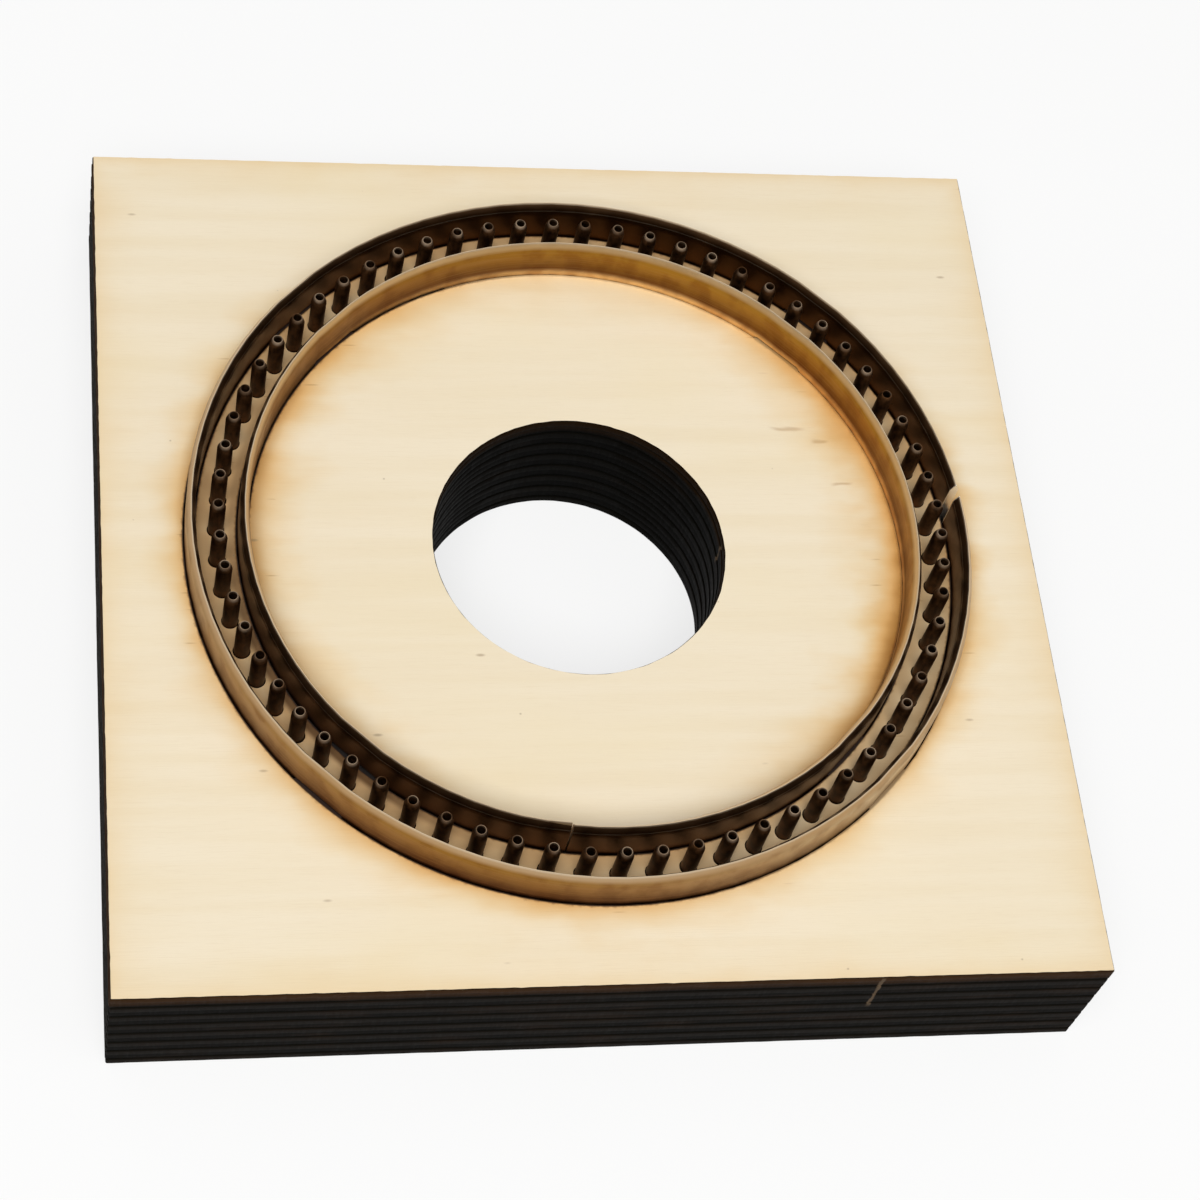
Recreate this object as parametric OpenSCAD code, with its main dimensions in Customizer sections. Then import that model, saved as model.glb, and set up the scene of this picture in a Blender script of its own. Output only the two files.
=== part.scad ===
// Steel rule die for a flat ring with a row of stitch holes.
// A plywood board carries two rings of bevelled steel rule and a circle of tubular punches.
// Frame: X to the right, Y away from the user, Z up; origin at the centre of the board's back.

/* [Cut ring] */
// Diameter of the outer cutting line
cut_d = 90; // [70:1:140]
// Width of the ring between the outer and the inner cutting line
ring_w = 6; // [5:0.5:9]

/* [Board] */
// Thickness of the plywood
board_t = 18; // [15:0.5:20]
// Wood between the outer cutting line and the edge of the board
board_margin = 10; // [6:0.5:30]
// Diameter of the finger hole
finger_hole_d = 34; // [18:1:46]

/* [Rules] */
// Height of the rule, from the back of the board to the cutting edge
rule_h = 23.8; // [22:0.1:30]
// Thickness of the rule
rule_t = 1.05; // [0.7:0.05:1.4]
// Angle between the two bevels of the cutting edge
edge_angle = 52; // [30:1:70]
// Width of the honed flat along the cutting edge
edge_flat = 0.08; // [0.04:0.01:0.2]
// Gap left between the two ends of the outer rule
outer_joint_gap = 1.5; // [0.1:0.1:2]
// Where the ends of the outer rule meet, in degrees from +X
outer_joint_at = 5; // [0:1:15]
// Gap between the two butted ends of the inner rule
inner_joint_gap = 0.2; // [0.1:0.05:0.4]
// Where the ends of the inner rule meet, in degrees from +X
inner_joint_at = 262; // [260:1:263]

/* [Bridges] */
// Bridges of uncut wood across each kerf
bridge_count = 4; // [3:1:6]
// Width of a bridge
bridge_w = 7; // [5:0.5:9]
// Room between a bridge and the notch over it
notch_room = 0.4; // [0.2:0.1:0.8]

/* [Stitch punches] */
// Distance from one stitch hole to the next
stitch_pitch = 4; // [3.6:0.1:6]
// Where the first punch stands, in degrees from +X
first_punch_at = 2.9; // [0:0.1:5]
// Outside diameter of a punch
punch_d = 1.8; // [1.4:0.1:2.4]
// Bore of a punch, which is the diameter of the stitch hole
punch_bore_d = 1; // [0.6:0.1:1.2]
// Width of the honed lip round the mouth of a punch
punch_lip = 0.08; // [0.04:0.01:0.12]
// Length of the bevel at the mouth of a punch
punch_bevel = 0.8; // [0.4:0.1:2]

/* [Fits] */
// Room on each side of a rule in its kerf
kerf_room = 0.03; // [0.01:0.01:0.1]
// Room all round a punch in its hole
punch_room = 0.03; // [0.01:0.01:0.1]

/* [Hidden] */
// Nodes that share the punches, each with the same number of neighbours
punch_groups = 22;
// How far a cut runs past the solid that it is taken from
over = 1;
// Circle segments of the rings and of the punches
ring_fn = 180;
punch_fn = 48;

board_w = cut_d + 2 * board_margin;
outer_r = cut_d / 2;
inner_r = outer_r - ring_w;
stitch_r = (outer_r + inner_r) / 2;
punch_r = punch_d / 2;
punch_bore_r = punch_bore_d / 2;
edge_bevel = (rule_t - edge_flat) / 2 / tan(edge_angle / 2);
notch_w = bridge_w + 2 * notch_room;
notch_h = board_t + notch_room;
notch_corner_r = 2 * notch_room;
punches_per_group = max(1, round(2 * PI * stitch_r / stitch_pitch / punch_groups));
punch_step = 360 / (punch_groups * punches_per_group);
bridges_at = [for (i = [0 : bridge_count - 1]) (i + 0.5) * 360 / bridge_count];

function group_name(k) = str("stitch_punches_", k < 10 ? "0" : "", k);
function punch_at(i) = first_punch_at + i * punch_step;

// A round wall with its middle at radius r
module ring_wall(r, wall, h) {
    rotate_extrude($fn = ring_fn)
        translate([r - wall / 2, 0])
            square([wall, h]);
}

// One kerf right through the board, broken where the bridges cross it
module kerf(r) {
    difference() {
        translate([0, 0, -over])
            ring_wall(r, rule_t + 2 * kerf_room, board_t + 2 * over);
        for (a = bridges_at)
            rotate(a)
                translate([0, -bridge_w / 2, -2 * over])
                    cube([r + rule_t, bridge_w, board_t + 4 * over]);
    }
}

// Section of the rule at radius r: a flat strip with a bevel on both sides of its cutting edge
module rule_section(r) {
    polygon([
        [r - rule_t / 2, 0],
        [r + rule_t / 2, 0],
        [r + rule_t / 2, rule_h - edge_bevel],
        [r + edge_flat / 2, rule_h],
        [r - edge_flat / 2, rule_h],
        [r - rule_t / 2, rule_h - edge_bevel]
    ]);
}

// Outline of the notch that lets a rule straddle a bridge, with round corners at its top
module notch_outline() {
    translate([-notch_w / 2, -over])
        square([notch_w, notch_h + over - notch_corner_r]);
    translate([-notch_w / 2 + notch_corner_r, -over])
        square([notch_w - 2 * notch_corner_r, notch_h + over]);
    for (side = [-1, 1])
        translate([side * (notch_w / 2 - notch_corner_r), notch_h - notch_corner_r])
            circle(r = notch_corner_r, $fn = punch_fn);
}

// One rule bent to a ring: notched over every bridge and open by the gap of the joint where its ends meet
module bent_rule(r, joint_at, joint_gap) {
    difference() {
        rotate_extrude($fn = ring_fn)
            rule_section(r);
        for (a = bridges_at)
            rotate(a)
                rotate([90, 0, 90])
                    linear_extrude(height = r + rule_t)
                        notch_outline();
        rotate(joint_at)
            translate([0, -joint_gap / 2, -over])
                cube([r + rule_t, joint_gap, rule_h + 2 * over]);
    }
}

// One tubular punch: open from end to end, so that the slugs leave at the back
module punch() {
    rotate_extrude($fn = punch_fn)
        polygon([
            [punch_bore_r, 0],
            [punch_r, 0],
            [punch_r, rule_h - punch_bevel],
            [punch_bore_r + punch_lip, rule_h],
            [punch_bore_r, rule_h]
        ]);
}

// Puts its children where punch i of the stitch circle stands
module at_punch(i) {
    rotate(punch_at(i))
        translate([stitch_r, 0, 0])
            children();
}

module die_board() {
    color([0.90, 0.80, 0.61])
        difference() {
            translate([-board_w / 2, -board_w / 2, 0])
                cube([board_w, board_w, board_t]);
            translate([0, 0, -over])
                cylinder(d = finger_hole_d, h = board_t + 2 * over, $fn = ring_fn);
            kerf(outer_r);
            kerf(inner_r);
            for (i = [0 : punch_groups * punches_per_group - 1])
                at_punch(i)
                    translate([0, 0, -over])
                        cylinder(r = punch_r + punch_room, h = board_t + 2 * over, $fn = punch_fn);
        }
}

module outer_rule() {
    color([0.62, 0.47, 0.27])
        bent_rule(outer_r, outer_joint_at, outer_joint_gap);
}

module inner_rule() {
    color([0.62, 0.45, 0.24])
        bent_rule(inner_r, inner_joint_at, inner_joint_gap);
}

// The punches of group k, counted from 1
module stitch_punches(k) {
    color([0.30, 0.22, 0.15])
        for (j = [0 : punches_per_group - 1])
            at_punch((k - 1) * punches_per_group + j)
                punch();
}

die_board();
outer_rule();
inner_rule();
for (k = [1 : punch_groups])
    stitch_punches(k);
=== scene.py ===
# %% [markdown]
# # Dressing a steel rule die
# A steel rule die is a cutting tool for a press. Strips of sharpened steel rule stand in a plywood board
# and cut a shape out of leather or card in one stroke. This one cuts a flat ring and punches a circle of
# stitch holes round it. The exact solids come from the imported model, which is loaded as a fixed frame in
# metres. Everything below is built round that frame, so no piece needs fitting by eye.

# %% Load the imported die
import math

import bmesh
import bpy
import numpy as np
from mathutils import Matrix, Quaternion, Vector, geometry, noise


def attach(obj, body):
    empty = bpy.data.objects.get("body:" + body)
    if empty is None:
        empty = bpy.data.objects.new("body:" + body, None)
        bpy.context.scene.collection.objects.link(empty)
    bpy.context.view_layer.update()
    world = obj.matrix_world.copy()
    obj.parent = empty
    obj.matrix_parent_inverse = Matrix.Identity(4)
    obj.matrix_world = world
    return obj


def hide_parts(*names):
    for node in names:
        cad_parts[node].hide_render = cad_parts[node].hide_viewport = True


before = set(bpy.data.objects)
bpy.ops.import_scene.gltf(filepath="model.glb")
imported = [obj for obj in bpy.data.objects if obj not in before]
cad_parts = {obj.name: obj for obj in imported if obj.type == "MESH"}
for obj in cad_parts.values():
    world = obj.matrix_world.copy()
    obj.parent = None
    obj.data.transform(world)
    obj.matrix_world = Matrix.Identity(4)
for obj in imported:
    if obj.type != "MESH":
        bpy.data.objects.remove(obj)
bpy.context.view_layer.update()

# %% [markdown]
# ## Measure before making
# The new pieces take the place of the plain solids, so they need the same sizes. These could be typed in
# again, but then a change to the solids would leave the looks behind. Here each size is read from the
# corner points of a node, in millimetres, because a die maker thinks in millimetres. Two heights or
# radii that differ by less than a hair count as the same.

# %% Measure the board
MM = 0.001
HAIR = 0.02


def points_of(node):
    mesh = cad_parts[node].data
    flat = np.empty(3 * len(mesh.vertices), np.float32)
    mesh.vertices.foreach_get("co", flat)
    return flat.reshape(-1, 3).astype(float) / MM


def reach_and_turn(points):
    return np.hypot(points[:, 0], points[:, 1]), np.arctan2(points[:, 1], points[:, 0])


board = points_of("die_board")
board_reach, board_turn = reach_and_turn(board)
half_board = board[:, 0].max()
board_t = board[:, 2].max()
finger_r = board_reach.min()
print(f"board {2 * half_board:.1f} mm square, {board_t:.1f} thick, finger hole radius {finger_r:.1f}")

# %% [markdown]
# A bent rule has two interruptions. Notches in its back edge let it straddle the bridges of uncut wood
# that hold the middle of the board, and its two ends meet at a joint. On the mesh a notch is a wide
# stretch of the back edge without a point. The joint lies between the two end faces: they look along the
# ring and reach up to the cutting edge, while the sides of a notch stop lower down.

# %% Measure the rules
WIDE_GAP = 5
ALONG_THE_RING = 0.9


def open_spans(turns, radius):
    turns = np.unique(np.round(turns, 6))
    following = np.append(turns[1:], turns[0] + 2 * np.pi)
    return [(a, b) for a, b in zip(turns, following) if (b - a) * radius > WIDE_GAP]


def read_joint(mesh, top):
    ends = set()
    for face in mesh.polygons:
        along = Vector((-face.center.y, face.center.x, 0)).normalized()
        tallest = max(mesh.vertices[corner].co.z for corner in face.vertices) / MM
        if abs(face.normal.dot(along)) > ALONG_THE_RING and tallest > top - HAIR:
            ends.update(face.vertices)
    x, y = np.array([mesh.vertices[corner].co[:2] for corner in ends]).T
    middle = math.atan2(y.mean(), x.mean())
    off = (np.arctan2(y, x) - middle + np.pi) % (2 * np.pi) - np.pi
    return middle + np.array([off[off < 0].mean(), off[off > 0].mean()])


def read_rule(node):
    points = points_of(node)
    reach, turn = reach_and_turn(points)
    z = points[:, 2]
    outside = reach > reach.max() - HAIR
    edge = reach[z > z.max() - HAIR]
    rule = {"inside": reach.min(), "outside": reach.max(), "top": z.max(), "flat": np.ptp(edge)}
    rule["middle"] = (rule["inside"] + rule["outside"]) / 2
    rule["bevel_from"] = z[outside].max()
    rule["notches"] = open_spans(turn[outside & (z < HAIR)], rule["outside"])
    rule["notch_h"] = z[z < rule["bevel_from"] - HAIR].max()
    rule["joint"] = read_joint(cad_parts[node].data, rule["top"])
    return rule


rules = {node: read_rule(node) for node in ("outer_rule", "inner_rule")}
for node, rule in rules.items():
    joint = math.degrees(rule["joint"].mean()) % 360
    print(f"{node}: r {rule['inside']:.2f} to {rule['outside']:.2f}, edge at {rule['top']:.1f},", end=" ")
    print(f"{len(rule['notches'])} notches, joint at {joint:.1f} deg")

# %% [markdown]
# The kerf of a rule is the slot that the laser cuts for it. It is broken by the bridges, so on the board's
# mesh a bridge is a wide stretch of the kerf's outside without a point.

# %% Measure the kerfs


def read_kerf(rule):
    wall = rule["outside"] - rule["inside"]
    near = (abs(board_reach - rule["middle"]) < wall) & (board[:, 2] > board_t - HAIR)
    inside, outside = board_reach[near].min(), board_reach[near].max()
    on_outside = near & (board_reach > outside - HAIR)
    bridges = open_spans(board_turn[on_outside], outside)
    half_bridge = outside * math.sin((bridges[0][1] - bridges[0][0]) / 2)
    centres = [(a + b) / 2 for a, b in bridges]
    return {"inside": inside, "outside": outside, "bridges": centres, "half_bridge": half_bridge}


kerfs = {node: read_kerf(rule) for node, rule in rules.items()}
inner_kerf, outer_kerf = kerfs["inner_rule"], kerfs["outer_rule"]
print("bridges across the kerfs:", [len(kerf["bridges"]) for kerf in kerfs.values()])

# %% [markdown]
# Three punches share each node, so the points of a node are sorted round the ring and split where there
# is a gap. The middle of a punch is the mean of the points on its back end. Its hole is as wide as the
# board's nearest points say.

# %% Measure the punches
PUNCH_GAP = 1


def split_round_ring(points):
    reach, turn = reach_and_turn(points)
    order = np.argsort(turn)
    steps = np.diff(turn[order]) * reach.mean()
    return [points[part] for part in np.split(order, np.flatnonzero(steps > PUNCH_GAP) + 1)]


def back_centre(points):
    back = points[points[:, 2] < HAIR, :2]
    return np.unique(np.round(back, 4), axis=0).mean(axis=0)


def read_punch(points):
    centre = back_centre(points)
    away = np.linalg.norm(points[:, :2] - centre, axis=1)
    z = points[:, 2]
    punch = {"outside": away.max(), "bore": away.min(), "top": z.max()}
    punch["bevel_from"] = z[away > away.max() - HAIR].max()
    punch["mouth"] = away[z > z.max() - HAIR].max()
    punch["hole"] = np.linalg.norm(board[:, :2] - centre, axis=1).min()
    return punch


punch_nodes = sorted(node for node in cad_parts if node.startswith("stitch_punches"))
punch_places = {}
for node in punch_nodes:
    tubes = split_round_ring(points_of(node))
    punch_places[node] = [back_centre(tube) for tube in tubes]
punch = read_punch(tubes[0])
punch_count = sum(len(places) for places in punch_places.values())
print(punch_count, "punches:", {key: round(float(value), 2) for key, value in punch.items()})

# %% [markdown]
# ## Set the camera
# The photograph looks down on the die from the front left. The camera stands at that viewpoint and turns
# to face the die. A lens shift could keep the framing of the photograph instead, but it would push the
# die out of the frame in every other view, so the camera has no shift, and a roll sets the front edge
# about level.

# %% Camera
VIEW_FROM = Vector((-64.9, -173.9, 307.9)) * MM
VIEW_AT = Vector((3.0, -4.0, 12.0)) * MM
ROLL = math.radians(18.6)
LENS = 89
SEES_FROM = 0.01
scene = bpy.context.scene
camera = bpy.data.objects.new("studio_camera", bpy.data.cameras.new("studio_camera"))
camera.data.lens = LENS
camera.data.clip_start = SEES_FROM
camera.location = VIEW_FROM
camera.rotation_mode = "QUATERNION"
facing = (VIEW_AT - VIEW_FROM).to_track_quat("-Z", "Y")
camera.rotation_quaternion = facing @ Quaternion((0, 0, 1), ROLL)
scene.collection.objects.link(camera)
scene.camera = camera
scene.view_settings.view_transform = "Standard"
print(f"camera {(VIEW_AT - VIEW_FROM).length / MM:.0f} mm from the die")

# %% [markdown]
# ## A kit for finishes
# Every finish here is a network of shader nodes, so it needs no pictures and has no seams. Networks get
# long when each node is placed by hand. This small class adds a node, feeds its inputs in order with
# plain values or with other nodes, and hands back the output, so a finish reads like a formula. A Mix
# node has sockets for each kind of data, and the three numbers pick the ones for colours. A table for
# by_turn gives values at a few degrees round the ring. It starts at 0, and the ring closes it at 360.


# %% The finish kit
MIX_FROM, MIX_TO, MIX_RESULT = 6, 7, 2


class Finish:
    def __init__(self, name):
        self.material = bpy.data.materials.new(name)
        self.material.use_nodes = True
        self.tree = self.material.node_tree
        self.shader = self.tree.nodes["Principled BSDF"]

    def node(self, kind, *feeds, **settings):
        made = self.tree.nodes.new("ShaderNode" + kind)
        for name, value in settings.items():
            setattr(made, name, value)
        for socket, feed in zip(made.inputs, feeds):
            self.feed(socket, feed)
        return made.outputs[0]

    def feed(self, socket, feed):
        if isinstance(feed, bpy.types.NodeSocket):
            self.tree.links.new(feed, socket)
        elif feed is not None:
            socket.default_value = feed

    def calc(self, step, *feeds):
        return self.node("Math", *feeds, operation=step)

    def between(self, value, low, high, most=1.0):
        return self.node("MapRange", value, low, high, 0.0, most, interpolation_type="SMOOTHSTEP")

    def blend(self, share, first, second, how="MIX"):
        mix = self.tree.nodes.new("ShaderNodeMix")
        mix.data_type = "RGBA"
        mix.blend_type = how
        self.feed(mix.inputs[0], share)
        self.feed(mix.inputs[MIX_FROM], (*first, 1) if isinstance(first, tuple) else first)
        self.feed(mix.inputs[MIX_TO], (*second, 1) if isinstance(second, tuple) else second)
        return mix.outputs[MIX_RESULT]

    def place(self):
        at = self.tree.nodes.new("ShaderNodeTexCoord").outputs["Object"]
        scaled = self.tree.nodes.new("ShaderNodeVectorMath")
        scaled.operation = "SCALE"
        self.feed(scaled.inputs[0], at)
        scaled.inputs["Scale"].default_value = 1 / MM
        return scaled.outputs[0]

    def axes(self, vector):
        split = self.tree.nodes.new("ShaderNodeSeparateXYZ")
        self.feed(split.inputs[0], vector)
        return split.outputs

    def out_from_middle(self, place):
        level = self.node("VectorMath", place, (1, 1, 0), operation="MULTIPLY")
        return self.node("VectorMath", level, operation="LENGTH").node.outputs["Value"]

    def round_the_ring(self, place):
        x, y = self.axes(place)[:2]
        return self.calc("FRACT", self.calc("DIVIDE", self.calc("ARCTAN2", y, x), 2 * math.pi))

    def mottle(self, place, stretch, detail=4.0):
        stretched = self.node("VectorMath", place, stretch, operation="MULTIPLY")
        speckle = self.tree.nodes.new("ShaderNodeTexNoise")
        self.feed(speckle.inputs["Vector"], stretched)
        speckle.inputs["Scale"].default_value = 1
        speckle.inputs["Detail"].default_value = detail
        return speckle.outputs["Fac"]

    def by_turn(self, turn, values, most=1.0):
        ramp = self.tree.nodes.new("ShaderNodeValToRGB")
        ramp.color_ramp.interpolation = "LINEAR"
        stops = sorted({**values, 360: values[0]}.items())
        slots = ramp.color_ramp.elements
        while len(slots) < len(stops):
            slots.new(0.5)
        for slot, (degrees, value) in zip(slots, stops):
            slot.position = degrees / 360
            slot.color = (value / most, value / most, value / most, 1)
        self.feed(ramp.inputs[0], turn)
        return self.calc("MULTIPLY", ramp.outputs[0], most)

    def relief(self, height, depth, strength=1.0):
        bump = self.tree.nodes.new("ShaderNodeBump")
        bump.inputs["Strength"].default_value = strength
        bump.inputs["Distance"].default_value = depth * MM
        self.feed(bump.inputs["Height"], height)
        self.feed(self.shader.inputs["Normal"], bump.outputs[0])

    def wear(self, **feeds):
        for name, value in feeds.items():
            self.feed(self.shader.inputs[name.replace("_", " ")], value)
        return self.material


# %% [markdown]
# ## The studio
# Small tools are photographed on white paper under large soft lamps. A white floor could be made by
# lighting it until it burns out, but then the die would burn out as well. Instead the floor and the world
# show white to the camera and to mirror-like steel, while the light that falls on the die stays plain.
# Part of the floor's own shading is kept, so the die still has its soft shadow.

# %% The paper floor
FLOOR_SIZE = 4.0
FLOOR_CELLS = 4
PAPER_WHITE = 0.7


def seen_straight(tree):
    path = tree.nodes.new("ShaderNodeLightPath")
    seen = path.outputs["Is Camera Ray"]
    for ray in ("Is Glossy Ray", "Is Transmission Ray"):
        either = tree.nodes.new("ShaderNodeMath")
        either.operation = "MAXIMUM"
        tree.links.new(seen, either.inputs[0])
        tree.links.new(path.outputs[ray], either.inputs[1])
        seen = either.outputs[0]
    return seen


paper = Finish("white_paper")
paper.wear(Base_Color=(0.92, 0.92, 0.91, 1), Roughness=0.9)
glow = paper.tree.nodes.new("ShaderNodeEmission")
share = paper.calc("MULTIPLY", seen_straight(paper.tree), PAPER_WHITE)
paper_mix = paper.node("MixShader", share, paper.shader.outputs[0], glow.outputs[0])
paper.feed(paper.tree.nodes["Material Output"].inputs[0], paper_mix)

floor_mesh = bpy.data.meshes.new("studio_floor")
sheet = bmesh.new()
bmesh.ops.create_grid(sheet, x_segments=FLOOR_CELLS, y_segments=FLOOR_CELLS, size=FLOOR_SIZE / 2)
sheet.to_mesh(floor_mesh)
sheet.free()
floor = bpy.data.objects.new("studio_floor", floor_mesh)
floor_mesh.materials.append(paper.material)
scene.collection.objects.link(floor)
print("floor at z = 0")

# %% [markdown]
# The world is a plain white room. It lights the die a little from all round, and it shows full white
# where it is looked at. One large lamp at the front left does most of the work, because broad light
# keeps shadows soft, and a small one lifts the shade at the right.

# %% World and lamps
WORLD_LIGHT = 0.22
world = bpy.data.worlds.new("studio_world")
world.use_nodes = True
scene.world = world
lighting = world.node_tree.nodes["Background"]
lighting.inputs["Color"].default_value = (1, 1, 1, 1)
lighting.inputs["Strength"].default_value = WORLD_LIGHT
backdrop = world.node_tree.nodes.new("ShaderNodeBackground")
backdrop.inputs["Color"].default_value = (1, 1, 1, 1)
world_mix = world.node_tree.nodes.new("ShaderNodeMixShader")
world.node_tree.links.new(seen_straight(world.node_tree), world_mix.inputs[0])
world.node_tree.links.new(lighting.outputs[0], world_mix.inputs[1])
world.node_tree.links.new(backdrop.outputs[0], world_mix.inputs[2])
world.node_tree.links.new(world_mix.outputs[0], world.node_tree.nodes["World Output"].inputs[0])


def hang_lamp(name, at, size, watts):
    lamp = bpy.data.objects.new(name, bpy.data.lights.new(name, "AREA"))
    lamp.data.size = size
    lamp.data.energy = watts
    lamp.location = at
    lamp.rotation_mode = "QUATERNION"
    lamp.rotation_quaternion = (-Vector(at)).to_track_quat("-Z", "Y")
    scene.collection.objects.link(lamp)


hang_lamp("key_softbox", at=(-0.32, -0.88, 1.76), size=1.3, watts=36.5)
hang_lamp("fill_softbox", at=(0.6, -0.3, 0.6), size=0.6, watts=0.5)
print("a white world and two soft lamps")

# %% [markdown]
# ## A kit for skins
# The board, the rules and the punches are all skins between closed rings of points: rings stacked upwards
# for a wall or a tube, or rings set one after another round a circle for a bent strip. Booleans could cut
# the holes, but they leave long slivers and can't give a burnt edge its ragged line. Laying the rings
# directly gives full control over every edge. A flat face with holes is filled with triangles between
# all its rings, and those that lie in a hole are dropped.


# %% The skin kit
SHARP = math.radians(32)
WITHIN_HULL = 0
SAME_POINT = 1e-6


def in_the_wood(spots, edges):
    crossings = np.zeros(len(spots), int)
    for (ax, ay), (bx, by) in edges:
        if ay == by:
            continue
        level = (ay > spots[:, 1]) != (by > spots[:, 1])
        crossings += level & (spots[:, 0] < ax + (bx - ax) * (spots[:, 1] - ay) / (by - ay))
    return crossings % 2 == 1


class Skin:
    def __init__(self):
        self.corners = []
        self.faces = []
        self.finish_of = []

    def ring(self, points):
        first = len(self.corners)
        self.corners.extend(tuple(point) for point in points)
        return list(range(first, len(self.corners)))

    def face(self, corners, finish=0):
        self.faces.append(tuple(corners))
        self.finish_of.append(finish)

    def band(self, low, high, finish=0):
        for i in range(len(low)):
            after = (i + 1) % len(low)
            self.face((low[i], low[after], high[after], high[i]), finish)

    def fill(self, rings, finish, up):
        corners = [index for ring in rings for index in ring]
        flat = np.array([self.corners[index][:2] for index in corners])
        edges = []
        for ring in rings:
            start, size = len(edges), len(ring)
            edges += [(start + i, start + (i + 1) % size) for i in range(size)]
        spots = [Vector(point) for point in flat]
        made = geometry.delaunay_2d_cdt(spots, edges, [], WITHIN_HULL, SAME_POINT)
        faces, sources = made[2:4]
        triangles = np.array([[sources[i][0] for i in face] for face in faces])
        wood = in_the_wood(flat[triangles].mean(axis=1), flat[np.array(edges)])
        for triangle in triangles[wood]:
            ids = [corners[i] for i in triangle]
            self.face(ids if up else ids[::-1], finish)

    def piece(self, name, *finishes):
        mesh = bpy.data.meshes.new(name)
        mesh.from_pydata([Vector(corner) * MM for corner in self.corners], [], self.faces)
        mesh.polygons.foreach_set("material_index", self.finish_of)
        for finish in finishes:
            mesh.materials.append(finish)
        mesh.shade_smooth()
        mesh.set_sharp_from_angle(angle=SHARP)
        mesh.validate()
        made = bpy.data.objects.new(name, mesh)
        scene.collection.objects.link(made)
        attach(made, "root")
        return made


# %% [markdown]
# ## The board: outlines
# A laser cuts the board from birch plywood: its edge, the finger hole, two rings of kerf for the rules
# and a hole for each punch. Every cut is a closed outline. Each outline below also carries, for each of
# its points, the direction that leads into the wood, so that a burnt edge can eat its way in.


# %% Outlines of the cuts
EDGE_STEP = 0.75
KERF_STEP = 0.42
CORNER_R = 0.3
CORNER_LEANS = np.radians([-67.5, -45, -22.5])


def round_outline(centre, radius, count):
    turns = -np.arange(count) * 2 * np.pi / count
    away = np.stack([np.cos(turns), np.sin(turns)], axis=1)
    return np.asarray(centre) + radius * away, away


def square_outline():
    straight = half_board - CORNER_R
    along = np.linspace(-straight, straight, round(2 * straight / EDGE_STEP))
    side = np.stack([along, np.full_like(along, -half_board)], axis=1)
    bend = np.stack([np.cos(CORNER_LEANS), np.sin(CORNER_LEANS)], axis=1)
    corner = np.array([straight, -straight]) + CORNER_R * bend
    points = np.concatenate([side, corner])
    inward = np.concatenate([np.tile([0.0, 1.0], (len(side), 1)), -bend])
    quarter = np.array([[0.0, 1.0], [-1.0, 0.0]])
    turns = [np.linalg.matrix_power(quarter, k) for k in range(4)]
    return np.concatenate([points @ t for t in turns]), np.concatenate([inward @ t for t in turns])


def slot_outline(kerf, start, stop):
    sides = []
    for radius, outward in ((kerf["inside"], -1), (kerf["outside"], 1)):
        spare = math.asin(kerf["half_bridge"] / radius)
        count = round((stop - start) * radius / KERF_STEP)
        turns = np.linspace(start + spare, stop - spare, count)
        radial = np.stack([np.cos(turns), np.sin(turns)], axis=1)
        along = np.stack([-np.sin(turns), np.cos(turns)], axis=1)
        inward = outward * radial
        inward[0] -= along[0]
        inward[-1] += along[-1]
        sides.append((radius * radial, inward))
    (near, near_in), (far, far_in) = sides
    return np.concatenate([near, far[::-1]]), np.concatenate([near_in, far_in[::-1]])


def slots_of(kerf):
    starts = sorted(kerf["bridges"])
    stops = starts[1:] + [starts[0] + 2 * np.pi]
    return [slot_outline(kerf, a, b) for a, b in zip(starts, stops)]


kerf_slots = [slot for kerf in kerfs.values() for slot in slots_of(kerf)]
print(len(kerf_slots), "kerf slots,", len(kerf_slots[0][0]), "points round the first")

# %% [markdown]
# ## The board: plies and burnt edges
# This plywood has 15 thin plies with their grain crossed. The laser burns deepest where it meets
# the fibres end on, so on each wall every second ply stands back a little, with a groove at each glue
# line. All of this is real relief in the mesh: a texture alone would leave the outline of the edge
# ruler-straight. Each level of a wall is a height and how deep the burn has eaten in there.

# %% Levels of an edge with plies
PLIES = 15
PLY_T = board_t / PLIES
GLUE_GROOVE = 0.07
GLUE_SHARE = 0.16
END_GRAIN_DEPTH = 0.09
WAVER = 0.05
WAVER_SIZE = 2.2
EDGE_LIP = 0.06
EDGE_LIP_MORE = 0.12
EDGE_LIP_SIZE = 1.1
EDGE_LIP_DEEP = 0.2


def ragged(points, size, seed):
    spots = [Vector((x / size, y / size, seed)) for x, y in points]
    return np.array([0.5 + 0.5 * noise.noise(spot) for spot in spots])


def ply_levels(points, inward):
    levels = []
    for k in range(PLIES):
        end_grain = inward[:, k % 2] ** 2
        waver = WAVER * ragged(points, WAVER_SIZE, seed=7.3 * k)
        depth = END_GRAIN_DEPTH * end_grain + waver
        for share, groove in ((0.0, GLUE_GROOVE), (GLUE_SHARE, 0.0), (1 - GLUE_SHARE, 0.0)):
            levels.append(((k + share) * PLY_T, depth + groove))
    lip = EDGE_LIP + EDGE_LIP_MORE * ragged(points, EDGE_LIP_SIZE, seed=3.1)
    levels[0] = (0.0, lip + depth)
    levels[-1] = (board_t - EDGE_LIP_DEEP, depth)
    levels.append((board_t, lip + depth))
    return levels


print(PLIES, f"plies of {PLY_T:.2f} mm")

# %% [markdown]
# The lips of the narrow cuts are ragged where the face veneer burnt away: coarse bites with finer ones on
# them. Only the right and the back of the disc inside the inner rule were cut cleanly.

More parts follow.
